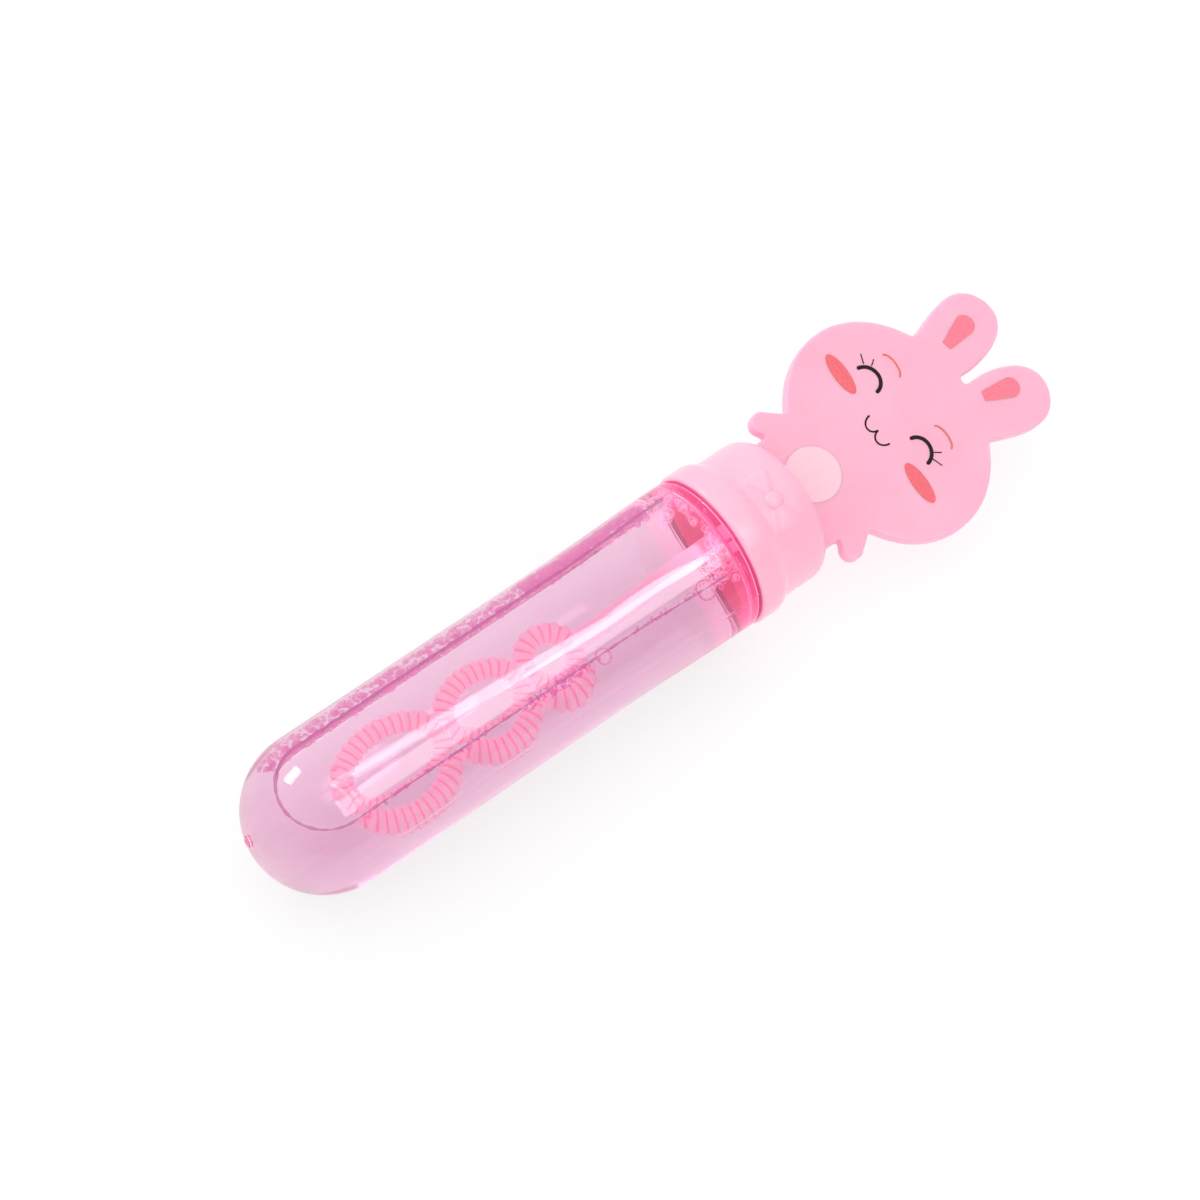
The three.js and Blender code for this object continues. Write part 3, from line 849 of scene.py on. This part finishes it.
def cap_shell():
    """Outer skin, bore and wand socket as one profile turned about the axis. The rim falls to the upper part
    as the mean of an eased step and a cube, which leaves a crease at its foot. The bow is added to the outer
    radius on the front, where the angles lie closer together. The inside of the cap takes a darker pink with
    a crimson glow: painted shade and painted glow."""
    rim_top = RIM_BOTTOM + RIM_HEIGHT
    share = np.linspace(0, 1, 15)
    fall = (eased(share) + share**3) / 2
    blend_along = rim_top + CAP_BLEND * (share - 0.5)
    blend = np.stack([blend_along, RIM_RADIUS - (RIM_RADIUS - CAP_RADIUS) * fall], axis=-1)
    straight = np.linspace(rim_top + CAP_BLEND / 2, CAP_TOP - CAP_TOP_ROUNDING, 36)[1:-1]
    outside = np.concatenate(
        [
            arc(RIM_BOTTOM + RIM_ROUNDING, RIM_RADIUS - RIM_ROUNDING, RIM_ROUNDING, -90, 0, 6),
            blend,
            np.stack([straight, np.full_like(straight, CAP_RADIUS)], axis=-1),
            arc(CAP_TOP - CAP_TOP_ROUNDING, CAP_RADIUS - CAP_TOP_ROUNDING, CAP_TOP_ROUNDING, 0, 90, 16),
            [(CAP_TOP, 0)],
        ]
    )
    socket_outer = SOCKET_RADIUS + SOCKET_WALL
    inside = [
        (CAP_INNER_TOP, 0),
        (CAP_INNER_TOP, SOCKET_RADIUS),
        (SOCKET_BOTTOM, SOCKET_RADIUS),
        (SOCKET_BOTTOM, socket_outer),
        (CAP_INNER_TOP, socket_outer),
        (CAP_INNER_TOP, BORE_RADIUS),
        (RIM_BOTTOM, BORE_RADIUS),
    ]
    along, radius = np.concatenate([outside, inside]).T
    front = np.radians(np.linspace(-BOW_HALF_ANGLE, BOW_HALF_ANGLE, 200))
    back = np.radians(np.linspace(BOW_HALF_ANGLE, 360 - BOW_HALF_ANGLE, 150)[1:-1])
    angles = np.concatenate([front, back])
    raised = np.broadcast_to(radius[:, None], (len(radius), len(angles))).copy()
    bow_rows = slice(0, len(outside) - 1)
    bow_columns = slice(0, len(front))
    raised[bow_rows, bow_columns] += bow_relief(along[bow_rows, None], CAP_RADIUS * front)
    points = turned(along, raised, angles)
    shell = build("cap_shell", [(points, True, True)], cap_shell_plastic, "cap", FIGURE_ROLL)
    place, from_axis = face_places(shell)
    shaded_hollow = (from_axis < BORE_RADIUS + SEAT_GAP) & (place < CAP_INNER_TOP + SEAT_GAP)
    shaded_hollow |= (from_axis < RIM_RADIUS - RIM_ROUNDING) & (place < RIM_BOTTOM + SEAT_GAP)
    return give_second(shell, cap_inside_painted_shade, shaded_hollow)


# Figure

def over_cap(points):
    """Points given as (height over the cap's top, across), at their place along the tube."""
    return np.asarray(points, float) + [CAP_TOP, 0]


def head_outline():
    """An oval: the half length times a cosine and the half width times a sine."""
    height = HEAD_HEIGHT + HEAD_HALF_LENGTH * np.cos(ROUND)
    return over_cap(np.stack([height, HEAD_HALF_WIDTH * np.sin(ROUND)], axis=-1))


def waist_outline():
    """An oblong from inside the cap's top to the middle of the head."""
    low, high = -CAP_TOP_WALL, HEAD_HEIGHT
    half = WAIST_HALF_WIDTH
    return over_cap([(low, -half), (high, -half), (high, half), (low, half)])


def arm_outline():
    """A tapered lobe: the root's width, then half a circle round the tip."""
    root, tip = over_cap([ARM_ROOT, ARM_TIP])
    out = unit(tip - root)
    wide = np.array([out[1], -out[0]])
    turn = np.linspace(0, np.pi, 24)[:, None]
    end = tip + ARM_TIP_RADIUS * (wide * np.cos(turn) + out * np.sin(turn))
    return np.concatenate([[root - wide * ARM_ROOT_HALF_WIDTH, root + wide * ARM_ROOT_HALF_WIDTH], end])


def ear_outline():
    """Three cubic curves: up along the slot to the tip, over to the widest place and back to the root."""
    root, root_side = over_cap(EAR_ROOT)
    widest, outer = over_cap(EAR_WIDEST)
    tip, tip_side = over_cap(EAR_TIP)
    slot = EAR_SLOT_HALF_WIDTH
    slot_top = CAP_TOP + HEAD_HEIGHT + HEAD_HALF_LENGTH + EAR_SLOT_STRAIGHT
    bend = slot_top - EAR_SLOT_STRAIGHT / 2
    swell = (widest - root) / 2
    above = widest + (tip - widest) * EAR_FULLNESS
    below = widest - swell * EAR_FULLNESS
    curves = [
        [(bend, slot), (slot_top, slot), (tip, tip_side / 3), (tip, tip_side)],
        [(tip, tip_side), (tip, (tip_side + outer) / 2), (above, outer), (widest, outer)],
        [(widest, outer), (below, outer), (root + swell, root_side + EAR_ROOT_SPREAD), (root, root_side)],
    ]
    return np.concatenate([[(root, slot)], *(bezier(curve, 24) for curve in curves), [(root, root_side)]])


def figure_distance(points):
    """Distance to the whole figure: head, waist, arms and ears joined by a soft minimum, which rounds the
    corners between them."""
    mirrored = points * [1, -1]
    arm, ear = arm_outline(), ear_outline()
    parts = [outline_distance(points, outline) for outline in (head_outline(), waist_outline(), arm, ear)]
    parts += [outline_distance(mirrored, outline) for outline in (arm, ear)]
    return -FIGURE_FILLET * np.log(np.exp(-np.stack(parts) / FIGURE_FILLET).sum(0))


def figure_slope(points, step=0.02):
    """The outward direction at points near the outline, from differences of the distance."""
    shifts = np.array([(step, 0), (0, step)])
    slope = np.stack([figure_distance(points + d) - figure_distance(points - d) for d in shifts], axis=-1)
    return unit(slope)


def figure_outline():
    """The line where the figure's distance is zero. A rough line round the figure is pulled onto it: each
    point moves against the slope by its distance, and the points are spaced evenly again."""
    half = over_cap(
        [
            (-CAP_TOP_WALL, 0),
            (-CAP_TOP_WALL, WAIST_HALF_WIDTH),
            *ROUGH_ARM_AND_JAW,
            (HEAD_HEIGHT, HEAD_HALF_WIDTH),
            *ROUGH_BROW_AND_EAR,
            EAR_WIDEST,
            *ROUGH_EAR_SIDE,
            EAR_TIP,
            *ROUGH_SLOT,
        ]
    )
    line = even_spacing(np.concatenate([half, half[-2:0:-1] * [1, -1]]), OUTLINE_SPACING)
    for _ in range(3):
        for _ in range(4):
            line = line - figure_distance(line)[:, None] * figure_slope(line)
        line = even_spacing(line, OUTLINE_SPACING)
    return line


def figure_plate():
    """The outline carried round the plate's rounded edge: the outline moves in by the edge's radius times one
    minus the cosine, while the height goes up by the sine. Both faces are flat."""
    line = figure_outline()
    outward = figure_slope(line)
    angle = np.radians(np.linspace(0, 90, 7))
    inset = np.concatenate([[FIGURE_EDGE + FACE_BORDER], FIGURE_EDGE * (1 - np.cos(angle[::-1]))])
    height = FIGURE_THICKNESS / 2 - FIGURE_EDGE * (1 - np.concatenate([[1], np.sin(angle[::-1])]))
    inset = np.concatenate([inset, inset[::-1]])
    height = np.concatenate([height, -height[::-1]])
    flat = line - inset[:, None, None] * outward
    rows, columns = flat.shape[:2]
    up = np.broadcast_to(height[:, None, None], (rows, columns, 1))
    points = np.concatenate([flat, up], axis=-1)
    faces = [range(columns), range((rows - 1) * columns, rows * columns)]
    grids = [(points, False, True)]
    return build("figure_plate", grids, cap_plastic, "cap", FIGURE_ROLL, flats=faces, sharp=60)


def oval_arc(first, top, last, steps=40):
    """Half an oval from first to last whose highest place is top."""
    first, top, last = np.asarray([first, top, last], float)
    middle = (first + last) / 2
    angle = np.linspace(0, np.pi, steps)[:, None]
    return middle + (first - middle) * np.cos(angle) + (top - middle) * np.sin(angle)


def stroke(path, half_width):
    """A printed line: a very flat oval section carried along the path, with round ends."""
    ahead = unit(np.gradient(path, axis=0))
    walked = walk(path)
    to_end = np.clip(np.minimum(walked, walked[-1] - walked) / half_width, 0, 1)
    wide = half_width * np.sqrt(1 - (1 - to_end) ** 2)
    around = full_turn(10)
    aside = np.stack([-ahead[:, 1], ahead[:, 0]], axis=-1)
    flat = path[:, None] + aside[:, None] * (wide[:, None] * np.cos(around))[..., None]
    thick = INK_THICKNESS * (wide / half_width)[:, None] * np.sin(around)
    return np.concatenate([flat, (FIGURE_THICKNESS / 2 + thick)[..., None]], axis=-1), False, True


def patch(outline):
    """A printed area: a flat film over the face, whose edge goes straight down into the plate."""
    middle = outline.mean(0)
    rows = [(0, INK_THICKNESS), (1, INK_THICKNESS), (1, -INK_THICKNESS), (0, -INK_THICKNESS)]
    share, height = np.array(rows).T[:, :, None, None]
    flat = middle + (outline - middle) * share
    thick = np.broadcast_to(FIGURE_THICKNESS / 2 + height, (*flat.shape[:2], 1))
    return np.concatenate([flat, thick], axis=-1), False, True


def oval(along, across, half_along, half_across):
    """An outline whose half lengths go with a cosine along the tube and a sine across it."""
    angle = ROUND[::3]
    return np.stack([along + half_along * np.cos(angle), across + half_across * np.sin(angle)], axis=-1)


def ear_petal(base, end, base_half, end_half):
    """A petal from a straight base to a round end, wider towards the end."""
    ahead = unit(end - base)
    aside = np.array([-ahead[1], ahead[0]])
    angle = np.linspace(-np.pi / 2, np.pi / 2, 30)[:, None]
    centre = end - ahead * end_half
    tip = centre + end_half * (ahead * np.cos(angle) + aside * np.sin(angle))
    left = np.linspace(centre + aside * end_half, base + aside * base_half, 10)[1:]
    right = np.linspace(base - aside * base_half, centre - aside * end_half, 10)[:-1]
    return np.concatenate([tip, left, right])


def prints():
    """The printed face, cheeks, ears and belly: lines are strokes along arcs or straight runs, and spots are
    patches inside outlines."""
    lines = [stroke(oval_arc(*over_cap(eye)), EYE_HALF_LINE) for eye in EYES]
    lines += [stroke(oval_arc(*over_cap(side)), MOUTH_HALF_LINE) for side in MOUTH]
    lines += [stroke(np.linspace(*over_cap(ends), 14), LASH_HALF_LINE) for ends in LASHES]
    brows = [stroke(oval_arc(*over_cap(brow)), BROW_HALF_LINE) for brow in BROWS]
    cheeks = [patch(oval(*over_cap(cheek), CHEEK_HALF_HEIGHT, CHEEK_HALF_WIDTH)) for cheek in CHEEKS]
    petal_widths = (PETAL_BASE_HALF_WIDTH, PETAL_END_HALF_WIDTH)
    petals = [patch(ear_petal(*over_cap(ends), *petal_widths)) for ends in EAR_PETALS]
    belly = [patch(oval(*over_cap(BELLY), BELLY_RADIUS, BELLY_RADIUS))]
    sets = [
        ("face_lines", lines, line_ink),
        ("brow_lines", brows, brow_ink),
        ("cheek_spots", cheeks, blush_ink),
        ("ear_patches", petals, ear_ink),
        ("belly_spot", belly, belly_ink),
    ]
    return [build(name, grids, material, "cap", FIGURE_ROLL, sharp=60) for name, grids, material in sets]


# Wand

def ribbed_ring(centre, half_length, half_width):
    """A closed tube along an oval. Its radius swells from groove to rib by a power of a sine, a whole number
    of times along the oval, so the ribs stand square to the ring. It gives the grid, and how deep in a groove
    each of its points is, which the wand uses as painted shade."""
    fine = np.linspace(0, 2 * np.pi, 2001)
    path = np.stack([half_length * np.cos(fine), half_width * np.sin(fine)], axis=-1)
    walked = walk(path)
    ribs = round(walked[-1] / RIB_PITCH)
    share = np.linspace(0, 1, ribs * 10, endpoint=False)
    turn = np.interp(share * walked[-1], walked, fine)
    middle = np.stack([centre + half_length * np.cos(turn), half_width * np.sin(turn)], axis=-1)
    out = unit(np.stack([half_width * np.cos(turn), half_length * np.sin(turn)], axis=-1))
    swell = np.abs(np.sin(np.pi * ribs * share)) ** RIB_ROUNDNESS
    radius = GROOVE_RADIUS + (RIB_RADIUS - GROOVE_RADIUS) * swell
    around = full_turn(20)
    flat = middle[:, None] + out[:, None] * (radius[:, None] * np.cos(around))[..., None]
    points = np.concatenate([flat, (radius[:, None] * np.sin(around))[..., None]], axis=-1)
    return (points, True, True), np.repeat(1 - swell, len(around))


def bubble_wand():
    """Three ribbed rings chained at their ends, and the stem that goes up into the cap's socket. The stem is
    bent a little, so the rings lie off the middle by an eased share of the bend. The shade attribute, which
    darkens the wand's painted glow as painted shade, is high in the grooves and where the stem goes into the
    cap."""
    grids, groove_shades, start = [], [], TIP_DISTANCE
    for half_length, half_width in zip(RING_HALF_LENGTHS, RING_HALF_WIDTHS):
        ring, depth = ribbed_ring(start + half_length, half_length, half_width)
        grids.append(ring)
        groove_shades.append(depth)
        start += 2 * half_length + RING_GAP
    stem_start, stem_end = start - RING_GAP, CAP_INNER_TOP - SEAT_GAP
    straight = np.linspace(stem_start, stem_end - STEM_CHAMFER, 24)
    along = np.concatenate([[stem_start], straight, [stem_end, stem_end]])
    radius = np.concatenate([[0], np.full_like(straight, STEM_RADIUS), [STEM_RADIUS - STEM_CHAMFER, 0]])
    grids.append((turned(along, radius, ROUND[::5]), False, True))
    first, last = STEM_BEND_ENDS
    for points, _, _ in grids:
        points[..., 1] += STEM_BEND * eased((last - points[..., 0]) / (last - first))
    wand = build("ribbed_wand", grids, wand_plastic, "cap", FIGURE_ROLL)
    ring_shades = np.concatenate(groove_shades)
    shade = np.zeros(len(wand.data.vertices))
    shade[: len(ring_shades)] = ring_shades
    places = np.zeros(len(shade) * 3)
    wand.data.vertices.foreach_get("co", places)
    first, last = STEM_SHADE_ENDS
    shade = np.maximum(shade, eased((places[::3] / MM + LENGTH_MIDDLE - first) / (last - first)))
    wand.data.attributes.new("shade", "FLOAT", "POINT").data.foreach_set("value", shade)
    return wand


# Pieces on the bodies of the frame

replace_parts(bottle_tube(), "bottle_tube")
neck_thread = thread("neck_thread", NECK_RADIUS, TUBE_LENGTH + NECK_THREAD_START, 0.0, clear_tube, "tube")
gate_mark()
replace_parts(liquid_body(), "bubble_liquid")
water_edge()
foam("wall_foam", WALL_FOAM, foam_film, seed=11)
foam("cap_foam", CAP_FOAM, cap_foam_film, seed=12)
large_bubbles = foam("large_bubbles", LARGE_BUBBLES, large_bubble_film, seed=13, rows=LARGE_BUBBLE_ROWS)
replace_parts(cap_shell(), "screw_cap")
cap_thread = thread(
    "cap_thread", BORE_RADIUS, RIM_BOTTOM + CAP_THREAD_START, np.pi, cap_inside_painted_shade, "cap", FIGURE_ROLL
)
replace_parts(figure_plate(), "screw_cap")
prints()
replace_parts(bubble_wand(), "bubble_wand")
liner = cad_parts["cap_liner"]
liner.data.materials.clear()
liner.data.materials.append(liner_foam)


# Floor, light and camera

def floor_plane():
    """A pale table that is lit from below as well, like the light table of a product photograph."""
    material, nodes, links, shader = new_material("floor_white")
    clouds = noise(nodes, links, 12)
    links.new(tint(nodes, links, clouds, (0.29, 0.29, 0.29), (0.31, 0.31, 0.31)), shader.inputs["Base Color"])
    shader.inputs["Roughness"].default_value = 0.9
    shader.inputs["Specular IOR Level"].default_value = 0.0
    shader.inputs["Emission Color"].default_value = (1, 1, 1, 1)
    shader.inputs["Emission Strength"].default_value = FLOOR_GLOW
    mesh = bpy.data.meshes.new("floor")
    half = FLOOR_HALF_WIDTH
    corners = [(-half, -half, 0), (half, -half, 0), (half, half, 0), (-half, half, 0)]
    mesh.from_pydata(corners, [], [(0, 1, 2, 3)])
    mesh.materials.append(material)
    floor = bpy.data.objects.new("floor", mesh)
    bpy.context.scene.collection.objects.link(floor)


def softbox(name, place, target, length, width, brightness, lengthwise=(1, 0, 0), shape="RECTANGLE"):
    """A broad light that faces its target, with its length along the lengthwise direction. Places and lengths
    are in metres. It makes the highlights alone, because the even light comes from all round."""
    data = bpy.data.lights.new(name, "AREA")
    data.shape = shape
    data.size, data.size_y = length, width
    data.energy = brightness * math.pi * length * width
    lamp = bpy.data.objects.new(name, data)
    facing = (Vector(place) - Vector(target)).normalized()
    aside = facing.cross(Vector(lengthwise)).normalized()
    lamp.matrix_world = Matrix((aside.cross(facing), aside, facing)).transposed().to_4x4()
    lamp.location = place
    lamp.visible_camera = False
    lamp.visible_diffuse = False
    bpy.context.scene.collection.objects.link(lamp)


def studio():
    """Pale light from all round that grows towards the bright side, as a dot product with its direction, and
    three softboxes."""
    world = bpy.data.worlds.new("studio")
    world.use_nodes = True
    nodes, links = world.node_tree.nodes, world.node_tree.links
    place = nodes.new("ShaderNodeTexCoord")
    side = nodes.new("ShaderNodeVectorMath")
    sky = nodes.new("ShaderNodeMapRange")
    side.operation = "DOT_PRODUCT"
    side.inputs[1].default_value = BRIGHT_SIDE
    sky.inputs["To Min"].default_value = WORLD_BRIGHTNESS * DARK_SIDE_SHARE
    sky.inputs["To Max"].default_value = WORLD_BRIGHTNESS
    nodes["Background"].inputs["Color"].default_value = (1, 1, 1, 1)
    links.new(place.outputs["Generated"], side.inputs[0])
    links.new(side.outputs["Value"], sky.inputs["Value"])
    links.new(sky.outputs["Result"], nodes["Background"].inputs["Strength"])
    bpy.context.scene.world = world
    bpy.context.scene.view_settings.view_transform = "Standard"
    softbox(
        "overhead",
        place=(0.143, -0.107, 0.62),
        target=(-0.02, 0.0, 0.02),
        length=0.42,
        width=0.066,
        brightness=3.2,
        lengthwise=(0.385, -0.92, 0),
        shape="ELLIPSE",
    )
    softbox(
        "window",
        place=(-0.21, 0.456, 0.38),
        target=(-0.07, 0.0, 0.015),
        length=0.22,
        width=0.12,
        brightness=8.0,
    )
    softbox(
        "front_fill",
        place=(0.13, -0.36, 0.62),
        target=(-0.02, 0.0, 0.02),
        length=0.3,
        width=0.32,
        brightness=2.6,
    )
    bounces = bpy.context.scene.cycles
    bounces.max_bounces = 24
    bounces.transmission_bounces = 24
    bounces.glossy_bounces = 8


def camera():
    """The photograph's view."""
    data = bpy.data.cameras.new("camera")
    data.sensor_width = CAMERA_SENSOR
    data.lens = CAMERA_LENS
    data.clip_start, data.clip_end = 0.01, 20.0
    eye = bpy.data.objects.new("camera", data)
    eye.location = CAMERA_PLACE
    eye.rotation_euler = CAMERA_TURN
    bpy.context.scene.collection.objects.link(eye)
    bpy.context.scene.camera = eye


floor_plane()
studio()
camera()
